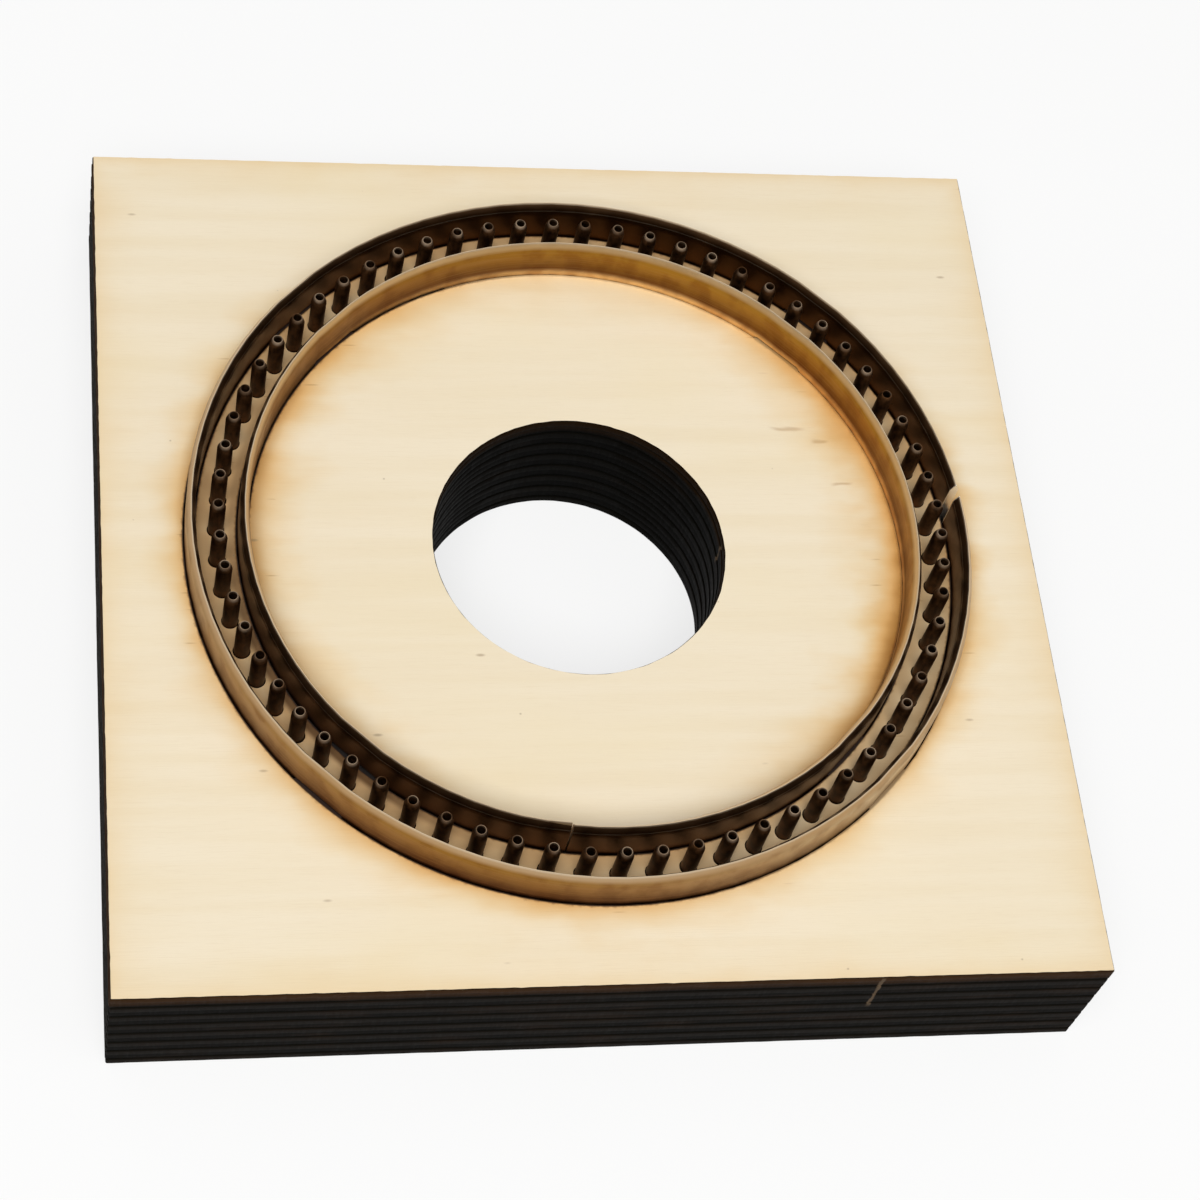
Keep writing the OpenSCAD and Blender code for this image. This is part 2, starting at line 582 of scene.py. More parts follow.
# %% Levels of a kerf or a punch hole
COARSE_BITE = 1.6
FINE_BITE = 0.5
FINE_SHARE = 0.3
CLEAN_LIP = 0.01
CLEAN_MID = 35
CLEAN_OVER = 150
LIP_FROM = 0.45
LIP_TURN = 0.1
LIP_TURN_SHARE = 0.6
BACK_LIP = 0.05
BACK_LIP_MORE = 0.1
BACK_LIP_SIZE = 0.8
BACK_LIP_DEEP = 0.3


def kerf_levels(points, lip_least, lip_more):
    coarse = ragged(points, COARSE_BITE, seed=1.7) ** 2
    bites = coarse + FINE_SHARE * ragged(points, FINE_BITE, seed=5.9)
    reach, turn = reach_and_turn(points)
    on_disc = reach < inner_kerf["inside"] + HAIR
    clean = on_disc & (abs(np.degrees(turn) - CLEAN_MID) < CLEAN_OVER / 2)
    lip = np.where(clean, CLEAN_LIP, lip_least + lip_more * bites)
    back = BACK_LIP + BACK_LIP_MORE * ragged(points, BACK_LIP_SIZE, seed=9.2)
    low = [(0.0, back), (BACK_LIP_DEEP, 0.0)]
    return low + [(board_t - LIP_FROM, 0.0), (board_t - LIP_TURN, LIP_TURN_SHARE * lip), (board_t, lip)]


print(f"clean lip over {CLEAN_OVER} degrees")

# %% [markdown]
# Now every outline becomes a wall, and the wood between the outlines becomes the face and the back.

# %% Walls and faces of the board
BIRCH, CHARRED = 0, 1
FINGER_HOLE_POINTS = 220
PUNCH_HOLE_POINTS = 28
KERF_LIP = (0.04, 0.15)
PUNCH_LIP = (0.03, 0.1)


def wall(skin, outline, levels):
    points, inward = outline
    rings = []
    for z, depth in levels:
        moved = points + inward * np.broadcast_to(depth, len(points))[:, None]
        rings.append(skin.ring([(x, y, z) for x, y in moved]))
    for low, high in zip(rings, rings[1:]):
        skin.band(low, high, CHARRED)
    return rings[0], rings[-1]


skin = Skin()
edges = []
for outline in (square_outline(), round_outline((0, 0), finger_r, FINGER_HOLE_POINTS)):
    edges.append(wall(skin, outline, ply_levels(*outline)))
for outline in kerf_slots:
    edges.append(wall(skin, outline, kerf_levels(outline[0], *KERF_LIP)))
for places in punch_places.values():
    for centre in places:
        outline = round_outline(centre, punch["hole"], PUNCH_HOLE_POINTS)
        edges.append(wall(skin, outline, kerf_levels(outline[0], *PUNCH_LIP)))
skin.fill([top for back, top in edges], BIRCH, up=True)
skin.fill([back for back, top in edges], BIRCH, up=False)
print(len(skin.faces), "faces in the board")

# %% [markdown]
# ## The birch face
# The face veneer is pale cream birch with fine straight grain, a few dark flecks, and amber scorch beside
# the kerfs where the laser dwelt. A painted picture could carry this, but nodes keep it sharp at any
# size. Grain is noise that is stretched along the fibres, in four sizes from hairs to wide clouds.

# %% Birch grain
CREAM, WARM_CREAM = (0.885, 0.775, 0.585), (0.86, 0.74, 0.535)
FIBRE_TAN = (0.74, 0.60, 0.40)
HAIR_TAN = (0.72, 0.58, 0.38)
CLOUD_GOLD = (0.87, 0.745, 0.50)
birch = Finish("birch_face")
at = birch.place()
x, y, z = birch.axes(at)
fibre = birch.mottle(at, (0.22, 7.0, 1.0), 5.0)
hairs = birch.mottle(at, (0.6, 17.0, 1.0), 2.0)
figure = birch.mottle(at, (0.018, 0.35, 1.0), 3.0)
cloud = birch.mottle(at, (0.03, 0.05, 1.0), 2.0)
wood = birch.blend(birch.between(figure, 0.35, 0.7), CREAM, WARM_CREAM)
wood = birch.blend(birch.between(fibre, 0.5, 0.8, 0.22), wood, FIBRE_TAN)
wood = birch.blend(birch.between(hairs, 0.52, 0.75, 0.16), wood, HAIR_TAN)
wood = birch.blend(birch.between(cloud, 0.45, 0.75, 0.4), wood, CLOUD_GOLD)
print("grain:", len(birch.tree.nodes), "nodes")

# %% [markdown]
# Scorch is worked out from the distance to each cut, so the finish first needs those distances: on the
# disc inside the inner rule, on the rim outside the outer rule, in the channel between them, and from the
# board's own edge. Each is above 0 on its own side of the cut.

# %% Distances to the cuts
reach = birch.out_from_middle(at)
turn = birch.round_the_ring(at)
channel_mid = (inner_kerf["outside"] + outer_kerf["inside"]) / 2
from_channel = birch.calc("ABSOLUTE", birch.calc("SUBTRACT", reach, channel_mid))
to_edge = birch.calc("MAXIMUM", birch.calc("ABSOLUTE", x), birch.calc("ABSOLUTE", y))
disc_gap = birch.calc("SUBTRACT", inner_kerf["inside"], reach)
rim_gap = birch.calc("SUBTRACT", reach, outer_kerf["outside"])
channel_gap = birch.calc("SUBTRACT", outer_kerf["inside"] - channel_mid, from_channel)
edge_gap = birch.calc("SUBTRACT", half_board, to_edge)
print(f"channel {outer_kerf['inside'] - inner_kerf['outside']:.2f} mm wide")

# %% [markdown]
# Scorch fades with distance from a cut. The tables say, for a few angles round the ring, how strong it is
# right at the kerf. The channel between the rules is smoked all over, and the board's own edge only a
# little. Two slow noises make the scorch spread further here and there, and stronger in patches.

# %% Scorch beside the cuts
DISC_SCORCH = {0: 2.0, 30: 1.9, 50: 1.0, 75: 0.5, 105: 0.6, 135: 1.5, 180: 1.6, 195: 1.2, 225: 1.6,
               255: 0.2, 285: 0.1, 330: 2.1, 345: 2.5}
RIM_SCORCH = {0: 2.0, 15: 2.1, 30: 1.1, 60: 0.2, 120: 0.3, 150: 1.4, 165: 1.4, 210: 1.0, 250: 1.4,
              315: 0.65, 345: 1.8}
CHANNEL_SCORCH = {0: 1.3, 60: 1.3, 180: 1.6, 225: 1.7, 255: 1.6, 290: 1.2, 315: 0.95, 340: 1.0}
EDGE_SCORCH = 0.28
MOST_SCORCH = 2.5
DISC_FADE, RIM_FADE, CHANNEL_FADE, EDGE_FADE = 2.2, 1.5, 4.0, 2.2
SPENT = 0.03
OVER_THE_KERF = -0.6
lick = birch.mottle(at, (0.09, 0.18, 1.0), 3.0)
patchy = birch.mottle(at, (0.13, 0.16, 1.0), 2.0)
spread = birch.calc("ADD", birch.between(lick, 0.3, 0.7, 0.7), 0.66)
strong = birch.calc("ADD", birch.between(patchy, 0.3, 0.7, 0.36), 0.82)


def scorch(gap, strength, fade):
    fading = birch.calc("EXPONENT", birch.calc("DIVIDE", gap, birch.calc("MULTIPLY", spread, -fade)))
    here = birch.calc("GREATER_THAN", gap, OVER_THE_KERF)
    at_most = birch.calc("MULTIPLY", birch.calc("MULTIPLY", here, strong), strength)
    fading = birch.calc("SUBTRACT", birch.calc("MINIMUM", fading, 1.0), SPENT)
    return birch.calc("MULTIPLY", at_most, birch.calc("MAXIMUM", fading, 0.0))


heat = scorch(edge_gap, EDGE_SCORCH, EDGE_FADE)
for gap, table, fade in ((disc_gap, DISC_SCORCH, DISC_FADE), (rim_gap, RIM_SCORCH, RIM_FADE),
                         (channel_gap, CHANNEL_SCORCH, CHANNEL_FADE)):
    heat = birch.calc("ADD", heat, scorch(gap, birch.by_turn(turn, table, MOST_SCORCH), fade))
print("scorch:", len(birch.tree.nodes), "nodes so far")

# %% [markdown]
# Browning wood takes away blue first, then green, then red, each by the same share for every further dose
# of heat, like a dye. So each channel keeps a fixed fraction raised to the power of the heat, which turns
# cream to yellow, then amber, then brown, without the dull grey of a plain mix. Only the channel between
# the rules has a thin grey film over that: partly soot, partly painted shade in that deep groove.

# %% Amber from heat
KEPT = (0.84, 0.60, 0.335)
DEEP_SCORCH = (0.72, 0.84, 0.95)
SOOT_SHADE_FILM = (0.46, 0.375, 0.27)
amber = birch.node("CombineXYZ", *[birch.calc("POWER", kept, heat) for kept in KEPT])
wood = birch.blend(1.0, wood, amber, "MULTIPLY")
wood = birch.blend(birch.between(heat, 0.9, 2.4), wood, DEEP_SCORCH, "MULTIPLY")
# Soot and painted shade: a thin grey film over the floor of the channel between the rules.
wood = birch.blend(birch.between(channel_gap, 0.0, 0.5, 0.3), wood, SOOT_SHADE_FILM)
print("kept of red, green and blue at heat 1:", KEPT)

# %% [markdown]
# Flecks are short dark dashes along the grain. A cell pattern that is stretched the same way as the
# fibres gives one dot to a cell, and only the few cells with a high random number keep theirs. Long ones
# are flecks of the birch itself, round ones are specks of dust, and fine ones in the scorch are splits.
# Where the heat was greatest, at the right of the disc, three longer checks opened. They have set places.

# %% Flecks, specks, splits and checks
CHECKS = [(32.7, 8.3, 1.6), (30.8, 15.1, 1.3), (27.0, 16.5, 2.6)]
CHECK_STRAY = 4.0
CHECK_WIDE, CHECK_NARROW, CHECK_DARK = 0.42, 0.05, 0.42
FLECK_BROWN = (0.33, 0.22, 0.12)
SPECK_BROWN = (0.36, 0.26, 0.16)
SPLIT_BROWN = (0.40, 0.215, 0.075)


def flecks(stretch, rare, size):
    cells = birch.tree.nodes.new("ShaderNodeTexVoronoi")
    birch.feed(cells.inputs["Vector"], birch.node("VectorMath", at, stretch, operation="MULTIPLY"))
    cells.inputs["Scale"].default_value = 1
    chosen = birch.calc("GREATER_THAN", birch.axes(cells.outputs["Color"])[0], rare)
    return birch.calc("MULTIPLY", birch.between(cells.outputs["Distance"], size, size / 5, 0.55), chosen)


def check(middle_x, middle_y, half_length):
    along = birch.calc("ABSOLUTE", birch.calc("SUBTRACT", x, middle_x))
    stray = birch.calc("MULTIPLY_ADD", lick, CHECK_STRAY, -CHECK_STRAY / 2)
    across = birch.calc("ADD", birch.calc("SUBTRACT", y, middle_y), stray)
    thin = birch.between(birch.calc("ABSOLUTE", across), CHECK_WIDE, CHECK_NARROW, CHECK_DARK)
    return birch.calc("MULTIPLY", thin, birch.between(along, half_length, half_length / 3))


splits = birch.calc("MULTIPLY", flecks((0.2, 1.9, 0.0), 0.88, 0.26), birch.between(heat, 0.15, 0.5))
for middle_x, middle_y, half_length in CHECKS:
    splits = birch.calc("MAXIMUM", splits, check(middle_x, middle_y, half_length))
wood = birch.blend(flecks((0.16, 0.45, 0.0), 0.92, 0.12), wood, FLECK_BROWN)
wood = birch.blend(flecks((0.45, 0.5, 0.0), 0.97, 0.09), wood, SPECK_BROWN)
wood = birch.blend(splits, wood, SPLIT_BROWN)
print(len(CHECKS), "checks with set places")

# %% [markdown]
# Right beside a kerf the veneer is burnt black. That line is ragged, and it runs on over the bridges,
# where the beam only scored the wood. It is fainter where the tables say that the cut is clean, and the
# back of the board has none. At the front left the wood is darker along the foot of the inner rule on
# its channel side: partly soot, partly painted shade in the narrow slot between the rule and the punches.

# %% The burnt line
DISC_CLEAN = {0: 0.8, 90: 0.75, 110: 0.4, 130: 0.0, 300: 0.0, 320: 0.4, 340: 0.7}
RIM_CLEAN = {0: 0.3, 30: 0.0, 275: 0.0, 300: 0.55, 340: 0.55}
CHANNEL_SOOT_SHADE = {0: 0.0, 180: 0.3, 195: 0.9, 230: 1.0, 245: 0.2, 260: 0.0}
BURNT_WIDE = 0.9
SCORED_WIDE, SCORED_NARROW = 0.30, 0.14
SOOT_SHADE_FROM, SOOT_SHADE_FULL = 0.9, 1.7
BURNT, SCORED, SOOT_SHADE_BROWN = (0.18, 0.095, 0.045), (0.10, 0.09, 0.08), (0.25, 0.20, 0.15)
bare = birch.calc("MAXIMUM", birch.calc("MAXIMUM", disc_gap, rim_gap), channel_gap)
clean = 0.0
for gap, table in ((disc_gap, DISC_CLEAN), (rim_gap, RIM_CLEAN)):
    here = birch.calc("GREATER_THAN", gap, OVER_THE_KERF)
    clean = birch.calc("MAXIMUM", clean, birch.calc("MULTIPLY", here, birch.by_turn(turn, table)))
on_top = birch.calc("GREATER_THAN", z, board_t / 2)
marked = birch.calc("MULTIPLY", birch.calc("SUBTRACT", 1.0, clean), on_top)
rag = birch.calc("MULTIPLY", birch.mottle(at, (1.3, 1.3, 1.0), 3.0), BURNT_WIDE)
burnt = birch.calc("MULTIPLY", birch.between(bare, rag, 0.0), marked)
wood = birch.blend(burnt, wood, BURNT, "MULTIPLY")
scored = birch.calc("MULTIPLY", birch.between(bare, SCORED_WIDE, SCORED_NARROW), marked)
wood = birch.blend(scored, wood, SCORED, "MULTIPLY")
# Soot and painted shade: darker along the channel side of the inner rule's foot, at the front left.
by_inner_rule = birch.between(reach, channel_mid - SOOT_SHADE_FROM, channel_mid - SOOT_SHADE_FULL)
soot_shade = birch.calc("MULTIPLY", birch.by_turn(turn, CHANNEL_SOOT_SHADE), by_inner_rule)
soot_shade = birch.calc("MULTIPLY", soot_shade, birch.calc("GREATER_THAN", reach, inner_kerf["inside"]))
wood = birch.blend(soot_shade, wood, SOOT_SHADE_BROWN, "MULTIPLY")
birch.relief(fibre, depth=0.03, strength=0.5)
birch.shader.inputs["Specular IOR Level"].default_value = 0.3
birch_face = birch.wear(Base_Color=wood, Roughness=birch.calc("MULTIPLY_ADD", figure, 0.2, 0.5))
print("birch_face:", len(birch.tree.nodes), "nodes")

# %% [markdown]
# ## The charred cuts
# Where the laser went through, the wood is black char. The plies still show: end grain is dead black,
# long grain is a little lighter, and the face veneer at the top is only dark brown. Each ply's number
# comes from the height, and the direction of the wall says whether the beam met that ply end on. The
# finger hole keeps its soot, while the outer edges are rubbed a little cleaner by handling.

# %% Laser char
LONG_GRAIN, END_GRAIN = (0.0064, 0.0050, 0.0036), (0.0016, 0.0013, 0.0009)
STREAK_GREY = (0.0082, 0.0064, 0.0046)
PATCH_BROWN = (0.0125, 0.0072, 0.0040)
VENEER_BROWN = (0.040, 0.018, 0.0065)
GLUE_BLACK = (0.003, 0.003, 0.002)
HOLE_SOOT = (0.40, 0.42, 0.38)
VENEER_FADE = 0.2
BY_THE_WALL = 1.0
char = Finish("laser_char")
at = char.place()
x, y, z = char.axes(at)
facing_x, facing_y = char.axes(char.tree.nodes.new("ShaderNodeNewGeometry").outputs["Normal"])[:2]
ply = char.calc("DIVIDE", z, PLY_T)
odd = char.calc("FLOORED_MODULO", char.calc("FLOOR", ply), 2.0)
even = char.calc("SUBTRACT", 1.0, odd)
met_x = char.calc("MULTIPLY", facing_x, facing_x)
met_y = char.calc("MULTIPLY", facing_y, facing_y)
end_on = char.calc("ADD", char.calc("MULTIPLY", odd, met_y), char.calc("MULTIPLY", even, met_x))
streak = char.mottle(at, (3.0, 3.0, 0.25), 3.0)
patch = char.mottle(at, (0.12, 0.12, 0.5), 3.0)
black = char.blend(end_on, LONG_GRAIN, END_GRAIN)
black = char.blend(char.between(streak, 0.45, 0.75, 0.5), black, STREAK_GREY)
black = char.blend(char.between(patch, 0.5, 0.75, 0.7), black, PATCH_BROWN)
from_top = char.calc("SUBTRACT", board_t, z)
browned = char.calc("MULTIPLY_ADD", patch, 0.8, 0.45)
veneer = char.calc("MULTIPLY", char.between(from_top, 2 * PLY_T, PLY_T - VENEER_FADE), browned)
black = char.blend(veneer, black, VENEER_BROWN)
glue = char.calc("PINGPONG", ply, 0.5)
black = char.blend(char.between(glue, 0.1, 0.03), black, GLUE_BLACK)
in_hole = char.calc("LESS_THAN", char.out_from_middle(at), finger_r + BY_THE_WALL)
black = char.blend(in_hole, black, HOLE_SOOT, "MULTIPLY")
print("char:", len(char.tree.nodes), "nodes")

# %% [markdown]
# The beam starts each cut at one spot and ends it there. A sliver of wood is left between the two, which
# tears when the waste is pushed out. It shows as a pale ragged streak, one on the front edge of the board
# and one in the finger hole.

# %% Torn slivers
FRONT_START, FRONT_LOW = 28.4, 9.5
HOLE_START, HOLE_LOW, HOLE_HIGH = 0.3, 13.0, 17.5
TORN_STRAY = 0.7
TORN_WIDE, TORN_NARROW = 0.28, 0.12
TORN_FOOT, TORN_HEAD = 1.5, 0.6
TORN_WOOD = (0.10, 0.068, 0.042)


def torn_sliver(across, start, low, high):
    stray = char.calc("MULTIPLY_ADD", streak, TORN_STRAY, -TORN_STRAY / 2)
    ragged_across = char.calc("ADD", char.calc("SUBTRACT", across, start), stray)
    thin = char.between(char.calc("ABSOLUTE", ragged_across), TORN_WIDE, TORN_NARROW)
    above_foot, below_head = char.between(z, low, low + TORN_FOOT), char.between(z, high, high - TORN_HEAD)
    return char.calc("MULTIPLY", thin, char.calc("MULTIPLY", above_foot, below_head))


front_only = char.calc("LESS_THAN", y, BY_THE_WALL - half_board)
hole_only = char.calc("COMPARE", x, finger_r, BY_THE_WALL)
front_torn = char.calc("MULTIPLY", torn_sliver(x, FRONT_START, FRONT_LOW, board_t), front_only)
hole_torn = char.calc("MULTIPLY", torn_sliver(y, HOLE_START, HOLE_LOW, HOLE_HIGH), hole_only)
black = char.blend(char.calc("MAXIMUM", front_torn, hole_torn), black, TORN_WOOD)
char.relief(streak, depth=0.04, strength=0.6)
char.shader.inputs["Specular IOR Level"].default_value = 0.02
laser_char = char.wear(Base_Color=black, Roughness=char.calc("MULTIPLY_ADD", streak, 0.3, 0.5))
print("laser_char:", len(char.tree.nodes), "nodes")

# %% [markdown]
# The board's skin now gets its two finishes. The piece stands for the plain solid of the board, which
# stays in the physics model.

# %% The board
birch_board = skin.piece("birch_board", birch_face, laser_char)
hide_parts("die_board")
print("birch_board:", len(birch_board.data.polygons), "faces")

# %% [markdown]
# ## The rules
# Steel rule comes as a flat strip with one edge ground to a wedge. A bender turns it to a ring, and a
# notcher clips its back so that it clears the bridges. A curve with a bevel profile could make the ring,
# but not the notches. Here the section of the strip is a ring of points, repeated step by step round the
# circle, and the back edge of the section rises where there is a notch. First comes the height of that
# back edge, from one end of the strip to the other.

# %% Back edge of a rule
BEND_STEP = 0.4
NOTCH_SLOPE = 0.05
NOTCH_CORNER = 0.8
NOTCH_CORNER_POINTS = 5


def back_edge(rule):
    start, stop = rule["joint"][1], rule["joint"][0] + 2 * np.pi
    steps = round((stop - start) * rule["middle"] / BEND_STEP)
    heights = {float(turn): 0.0 for turn in np.linspace(start, stop, steps)}
    corner = np.linspace(0, math.pi / 2, NOTCH_CORNER_POINTS)
    for a, b in rule["notches"]:
        for whole_turn in (-2 * np.pi, 0, 2 * np.pi):
            low, high = a + whole_turn, b + whole_turn
            if low < start or high > stop:
                continue
            heights = {t: h for t, h in heights.items() if not low < t < high}
            heights[low] = heights[high] = 0.0
            for lean in corner:
                inset = (NOTCH_SLOPE + NOTCH_CORNER * (1 - math.cos(lean))) / rule["middle"]
                height = rule["notch_h"] - NOTCH_CORNER * (1 - math.sin(lean))
                heights[low + inset] = heights[high - inset] = height
    return sorted(heights.items())


print("sections round each rule:", [len(back_edge(rule)) for rule in rules.values()])

# %% [markdown]
# The bender works in short hits, so the ring is very slightly faceted: flat between two hits, and half of
# that sag is added back, so that the ring keeps its size. The last end of the inner rule has sprung
# inwards a little.

# %% Sections round a rule
BEND_HITS = 88
FACE_LEVELS = 5
ABOVE_NOTCH = 0.3
SPRUNG = {"outer_rule": 0.0, "inner_rule": 0.25}
SPRUNG_OVER = 8


def bend_facet(turn, middle):
    hit = 2 * math.pi / BEND_HITS
    lean = turn % hit - hit / 2
    sag = middle * (1 - math.cos(hit / 2))
    return middle * (math.cos(hit / 2) / math.cos(lean) - 1) + sag / 2


def rule_section(rule, turn, back, sprung):
    middle = rule["middle"]
    bend = bend_facet(turn, middle)
    to_end = (rule["joint"][0] + 2 * np.pi - turn) * middle
    lean = sprung * max(0, 1 - to_end / SPRUNG_OVER) ** 2 / (rule["top"] - board_t)
    clear = rule["notch_h"] + ABOVE_NOTCH
    levels = [back, (back + clear) / 2, *np.linspace(clear, rule["bevel_from"], FACE_LEVELS)]
    face = [(rule["outside"], h) for h in levels]
    edge = [(middle + rule["flat"] / 2, rule["top"]), (middle - rule["flat"] / 2, rule["top"])]
    far_face = [(rule["inside"], h) for h in reversed(levels)]
    bent = [(r + bend - lean * max(0, h - board_t), h) for r, h in face + edge + far_face]
    return [(r * math.cos(turn), r * math.sin(turn), h) for r, h in bent]


def bend_rule(rule, sprung):
    skin = Skin()
    rings = [skin.ring(rule_section(rule, turn, back, sprung)) for turn, back in back_edge(rule)]
    for before, after in zip(rings, rings[1:]):
        skin.band(after, before)
    skin.face(rings[0][::-1])
    skin.face(rings[-1])
    return skin


bent_rules = {node: bend_rule(rule, SPRUNG[node]) for node, rule in rules.items()}
print("faces in the rules:", [len(bent.faces) for bent in bent_rules.values()])

# %% [markdown]
# ## Rule steel
# The strip is satin steel, a little brown from oil and smoke, with fine lines left by rolling and a
# brighter ground wedge. Most of its colour is the wood that it mirrors, so the finish is a true metal with
# a soft gloss. Stains are painted in, and so is some light: a painted reflection of the golden wood at
# the foot of the inside faces, and painted shade with the smoke in the channel. The faces are browner at
# the foot, and the tables say where the outside is tan and where the inside is smoked.

# %% Faces of the rules
TAN_OUTSIDE = {0: 0.5, 180: 0.4, 215: 0.18, 250: 0.0, 270: 0.14, 285: 0.36, 310: 1.0, 335: 0.9}
SMOKE_INSIDE = {0: 0.1, 80: 0.0, 110: 0.4, 140: 0.8, 165: 0.7, 200: 0.4, 300: 0.2}
LOW_BROWN, HIGH_BROWN = (0.10, 0.032, 0.005), (0.37, 0.19, 0.026)
LOW_TAN, HIGH_TAN = (0.19, 0.12, 0.062), (0.52, 0.42, 0.29)
OUTSIDE_COOL = (0.78, 0.77, 0.90)
SMOKE = (0.55, 0.47, 0.5)
PAINTED_GOLD_REFLECTION = (0.86, 0.63, 0.34)
STAIN = (0.72, 0.60, 0.48)
ROLLED_LINE = (0.40, 0.25, 0.10)
BROWN_FROM, BROWN_TO = 0.2, 4.6
FOOT_TOP, FOOT_FULL = 1.5, 0.3
inner_mid, outer_mid = rules["inner_rule"]["middle"], rules["outer_rule"]["middle"]
channel_r = (inner_mid + outer_mid) / 2
steel = Finish("rule_steel")
at = steel.place()
z = steel.axes(at)[2]
reach = steel.out_from_middle(at)
turn = steel.round_the_ring(at)
flow = steel.mottle(at, (0.12, 0.12, 9.0), 4.0)
stain = steel.mottle(at, (0.35, 0.35, 0.3), 4.0)
above_board = steel.calc("SUBTRACT", z, board_t)
rise = steel.between(above_board, BROWN_FROM, BROWN_TO)
outside = steel.calc("GREATER_THAN", reach, outer_mid)
inside = steel.calc("LESS_THAN", reach, inner_mid)
tanned = steel.calc("MULTIPLY", steel.by_turn(turn, TAN_OUTSIDE), outside)
smoked = steel.calc("MULTIPLY", steel.by_turn(turn, SMOKE_INSIDE), inside)
colour = steel.blend(rise, LOW_BROWN, HIGH_BROWN)
colour = steel.blend(outside, colour, OUTSIDE_COOL, "MULTIPLY")
colour = steel.blend(tanned, colour, steel.blend(rise, LOW_TAN, HIGH_TAN))
colour = steel.blend(smoked, colour, SMOKE, "MULTIPLY")
# Painted reflection: the inside faces turn gold near the foot, where they mirror the scorched wood beside
# them.
foot = steel.between(above_board, FOOT_TOP, FOOT_FULL)
foot = steel.calc("MULTIPLY", foot, steel.calc("GREATER_THAN", above_board, -PLY_T))
painted_reflection = steel.calc("MULTIPLY", foot, inside)
painted_reflection = steel.calc("MULTIPLY", painted_reflection, steel.calc("SUBTRACT", 1.0, smoked))
colour = steel.blend(painted_reflection, colour, PAINTED_GOLD_REFLECTION)
colour = steel.blend(steel.between(stain, 0.42, 0.66, 0.8), colour, STAIN, "MULTIPLY")
colour = steel.blend(steel.between(flow, 0.45, 0.7, 0.25), colour, ROLLED_LINE)
print("faces:", len(steel.tree.nodes), "nodes")

# %% [markdown]
# The faces towards the channel are dark, from smoke and from painted shade. The wedge is ground after
# rolling, so it is brighter, with a honed tip, but towards the channel it is painted dark, because there
# it only mirrors the shaded channel. There a thin painted highlight also runs along the burr where the
# wedge starts. The two ends of the outer rule were cut last: they are bare steel, painted brighter as a
# highlight.

# %% Smoke, wedge and bare ends
CHANNEL_SMOKE_AND_SHADE = (0.090, 0.038, 0.011)
WEDGE_INSIDE, WEDGE_OUTSIDE, WEDGE_PAINTED_SHADE = (0.58, 0.40, 0.21), (0.46, 0.315, 0.18), (0.13, 0.07, 0.033)
HONED_TIP = (0.55, 0.43, 0.29)
BURR_HIGHLIGHT = (0.50, 0.40, 0.29)
BARE_STEEL_HIGHLIGHT = (0.85, 0.80, 0.72)
BARE_LIT_SPREAD = 0.1
TIP_FROM, TIP_FULL = 0.25, 0.05
WEDGE_FROM, WEDGE_FULL = 0.05, 0.6
BURR_HIGHLIGHT_WIDE, BURR_HIGHLIGHT_NARROW, BURR_HIGHLIGHT_MOST = 0.12, 0.03, 0.5
bevel_from, edge_top = rules["outer_rule"]["bevel_from"], rules["outer_rule"]["top"]
between_rules = steel.calc("COMPARE", reach, channel_r, (outer_mid - inner_mid) / 2)
# Smoke and painted shade: the faces towards the channel are darkened.
colour = steel.blend(between_rules, colour, CHANNEL_SMOKE_AND_SHADE)
wedge = steel.blend(outside, WEDGE_INSIDE, WEDGE_OUTSIDE)
# Painted shade: the wedge towards the channel is dark, as it only mirrors the shaded channel.
wedge = steel.blend(between_rules, wedge, WEDGE_PAINTED_SHADE)
wedge = steel.blend(steel.between(z, edge_top - TIP_FROM, edge_top - TIP_FULL), wedge, HONED_TIP)
on_wedge = steel.between(z, bevel_from - WEDGE_FROM, bevel_from + WEDGE_FULL)
colour = steel.blend(on_wedge, colour, wedge)
# Painted highlight: a thin bright line along the burr where the wedge starts, in the channel only.
off_bevel = steel.calc("ABSOLUTE", steel.calc("SUBTRACT", z, bevel_from))
burr_highlight = steel.between(off_bevel, BURR_HIGHLIGHT_WIDE, BURR_HIGHLIGHT_NARROW, BURR_HIGHLIGHT_MOST)
colour = steel.blend(steel.calc("MULTIPLY", burr_highlight, between_rules), colour, BURR_HIGHLIGHT)
# Bare steel with a painted highlight: the cut ends of the outer rule and a hair of the faces beside them.
joint_from, joint_to = rules["outer_rule"]["joint"] / (2 * math.pi)
end_reach = (joint_to - joint_from) / 2 + BARE_LIT_SPREAD / (2 * math.pi * outer_mid)
at_joint = steel.calc("COMPARE", turn, (joint_from + joint_to) / 2, end_reach)
outer_only = steel.calc("GREATER_THAN", reach, channel_r)
colour = steel.blend(steel.calc("MULTIPLY", at_joint, outer_only), colour, BARE_STEEL_HIGHLIGHT)
steel.shader.inputs["Metallic"].default_value = 1
steel.relief(flow, depth=0.01, strength=0.4)
rule_steel = steel.wear(Base_Color=colour, Roughness=steel.calc("MULTIPLY_ADD", stain, 0.25, 0.25))
print("rule_steel:", len(steel.tree.nodes), "nodes")

# %% [markdown]
# Both bent strips take the same finish, because the finish knows from the radius which face it is on.

# %% The two rules
for node, name in (("outer_rule", "outer_rule_bent"), ("inner_rule", "inner_rule_bent")):
    bent = bent_rules[node].piece(name, rule_steel)
    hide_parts(node)
    print(name, len(bent.data.polygons), "faces")

# %% [markdown]
# ## The stitch punches
# A stitch punch is a short steel tube, ground to a sharp rim at its mouth and open at the back so that
# the slugs fall through. A tube is a stack of rings that runs up the outside, over the rim and down the
# bore. Each one leans by a hair above the board, as pressed-in tubes do.

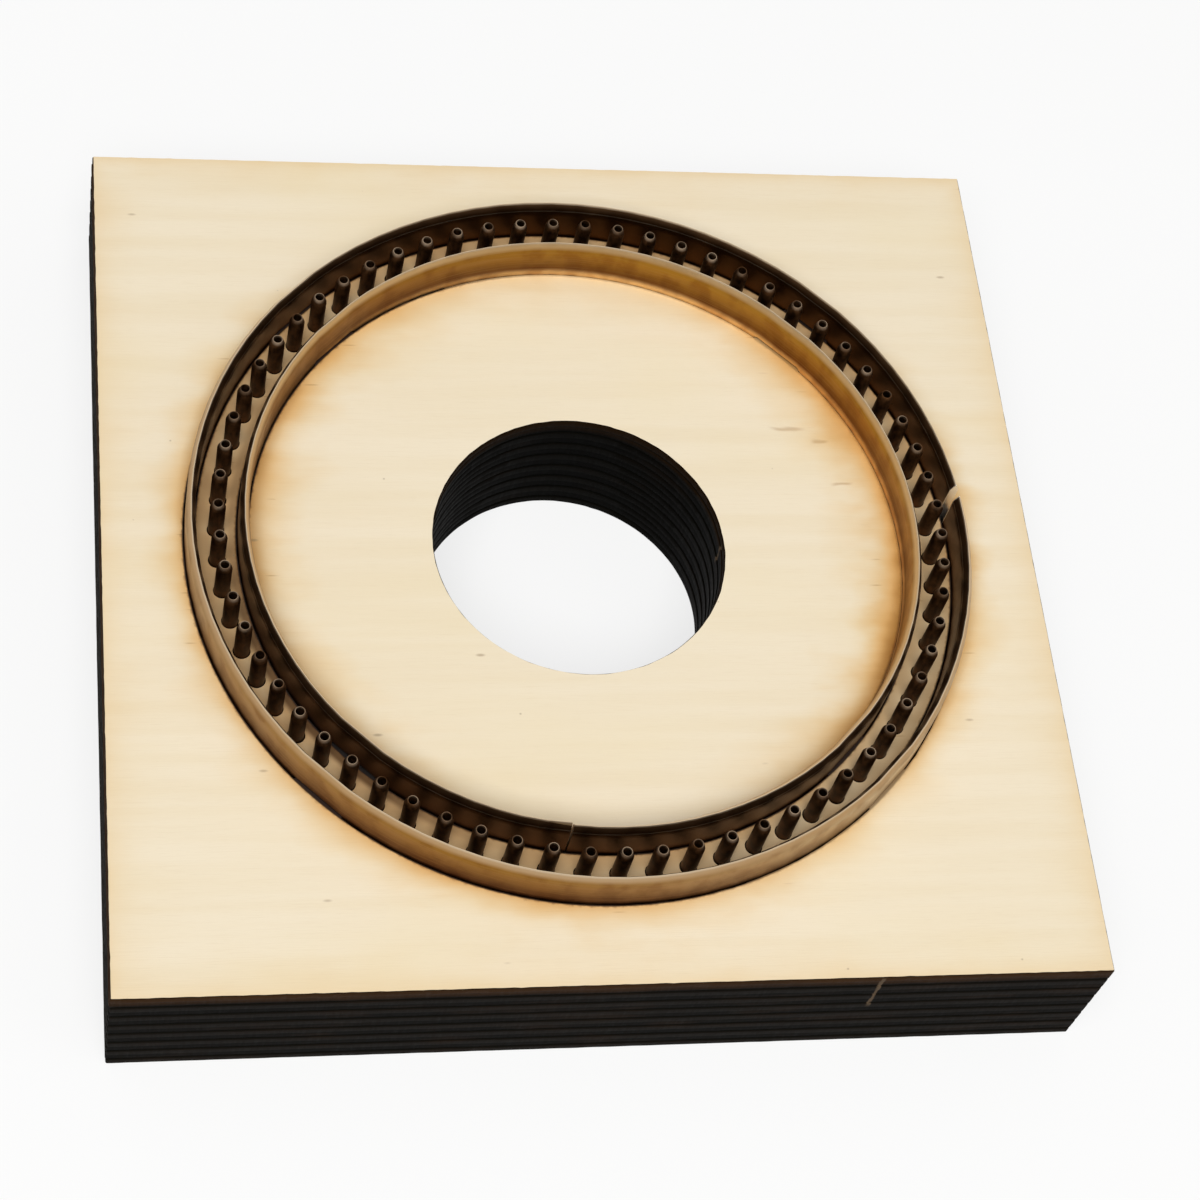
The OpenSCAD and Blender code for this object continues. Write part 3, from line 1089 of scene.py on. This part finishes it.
# %% Rings of a punch
PUNCH_SIDES = 36
LEAN = 0.10
BACK_EASE = 0.05
BEVEL_EASE, BEVEL_EASE_LONG = 0.02, 0.1
RIM_EASE, RIM_EASE_LONG = 0.02, 0.03
BORE_EASE, BORE_EASE_LONG = 0.01, 0.05
BORE_BACK_EASE = 0.04


def punch_profile():
    wall_r, bore_r, mouth_r = punch["outside"], punch["bore"], punch["mouth"]
    top, bevel_from = punch["top"], punch["bevel_from"]
    outside = [(wall_r - BACK_EASE, 0.0), (wall_r, BACK_EASE), (wall_r, board_t)]
    outside += [(wall_r, 0.5 * (board_t + top)), (wall_r, bevel_from - BEVEL_EASE_LONG)]
    rim = [(wall_r - BEVEL_EASE, bevel_from), (mouth_r + RIM_EASE, top - RIM_EASE_LONG), (mouth_r, top)]
    rim += [(bore_r + BORE_EASE, top), (bore_r, top - BORE_EASE_LONG)]
    bore = [(bore_r, board_t), (bore_r, BACK_EASE), (bore_r + BORE_BACK_EASE, 0.0)]
    return outside + rim + bore


def stand_punch(skin, centre, seed):
    turns = np.arange(PUNCH_SIDES) * 2 * np.pi / PUNCH_SIDES
    sway = LEAN * Vector((noise.noise(Vector((seed, 0.5, 0.5))), noise.noise(Vector((0.5, seed, 0.5)))))
    rings = []
    for radius, z in punch_profile():
        off = sway * max(0, (z - board_t) / (punch["top"] - board_t))
        rings.append(skin.ring([(centre[0] + off.x + radius * math.cos(t),
                                 centre[1] + off.y + radius * math.sin(t), z) for t in turns]))
    for low, high in zip(rings, rings[1:] + rings[:1]):
        skin.band(low, high)


print(len(punch_profile()), "rings in a punch")

# %% [markdown]
# ## Punch steel
# The tubes were hardened, which leaves them almost black, and only the rim that is honed last is bright.

# %% Punch steel
DARK_SCALE, BROWN_SCALE = (0.044, 0.020, 0.008), (0.110, 0.050, 0.020)
HONED_RIM = (0.32, 0.235, 0.16)
HONED_FROM, HONED_FULL = 0.5, 0.1
dark = Finish("punch_steel")
at = dark.place()
z = dark.axes(at)[2]
scale = dark.mottle(at, (1.2, 1.2, 0.8), 4.0)
rubbed = dark.mottle(at, (0.33, 0.33, 0.0), 1.0)
colour = dark.blend(dark.between(scale, 0.35, 0.7), DARK_SCALE, BROWN_SCALE)
honed = dark.between(z, punch["top"] - HONED_FROM, punch["top"] - HONED_FULL)
honed = dark.calc("MULTIPLY", honed, dark.between(rubbed, 0.3, 0.7))
colour = dark.blend(honed, colour, HONED_RIM)
dark.shader.inputs["Metallic"].default_value = 1
punch_steel = dark.wear(Base_Color=colour, Roughness=dark.calc("MULTIPLY_ADD", scale, 0.3, 0.34))
print("punch_steel:", len(dark.tree.nodes), "nodes")

# %% [markdown]
# The punches stand where the plain solids say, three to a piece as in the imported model. The seed goes up
# by the same step for each, so that every run leans them the same way.

# %% The punches
SEED_STEP = 1.71
seed = 0.37
for node, places in punch_places.items():
    tubes = Skin()
    for centre in places:
        seed += SEED_STEP
        stand_punch(tubes, centre, seed)
    group = tubes.piece(node + "_tubes", punch_steel)
    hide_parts(node)
print(punch_count, "punches in", len(punch_places), "pieces")
